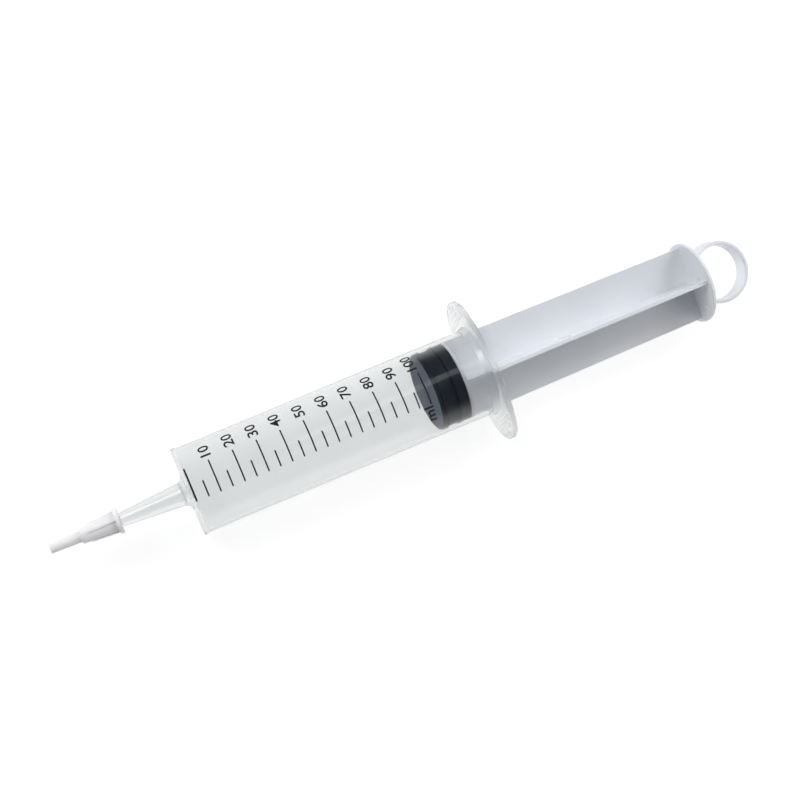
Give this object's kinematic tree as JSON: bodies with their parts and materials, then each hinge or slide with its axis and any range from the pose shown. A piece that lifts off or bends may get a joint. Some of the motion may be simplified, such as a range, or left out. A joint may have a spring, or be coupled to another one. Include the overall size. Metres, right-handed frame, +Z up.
{
  "type": "catheter tip syringe",
  "caption": "Large catheter tip syringe with a graduated clear barrel, oval finger flange, dark rubber piston, thumb ring plunger and a push-on luer adapter.",
  "frame": {"origin": "on the surface it lies on, under the middle of its bounding box", "axes": "+X along the syringe from the tip to the thumb ring, +Y along the flange's long side, +Z up"},
  "size_m": [0.3266, 0.0648, 0.0399],
  "materials": {
    "clear_plastic": "clear, slightly milky polypropylene",
    "dark_rubber": "satin",
    "white_plastic": "smooth white polypropylene",
    "grey_plastic": "milky grey, translucent"
  },
  "bodies": {
    "barrel": {"barrel": "clear_plastic"},
    "piston": {"piston": "dark_rubber"},
    "plunger": {"plunger_rod": "white_plastic"},
    "adapter": {"luer_adapter": "grey_plastic"}
  },
  "joints": [
    {"name": "plunger_slide", "type": "slide", "parent": "barrel", "child": "piston", "axis": [1, 0, 0], "range_m": [-0.1064, 0.009]},
    {"name": "rod_spin", "type": "hinge", "parent": "piston", "child": "plunger", "pos_m": [0.01628, 0, 0.01995], "axis": [1, 0, 0], "continuous": true},
    {"name": "adapter_pull", "type": "slide", "parent": "barrel", "child": "adapter", "axis": [-1, 0, 0], "range_m": [0, 0.012]}
  ]
}
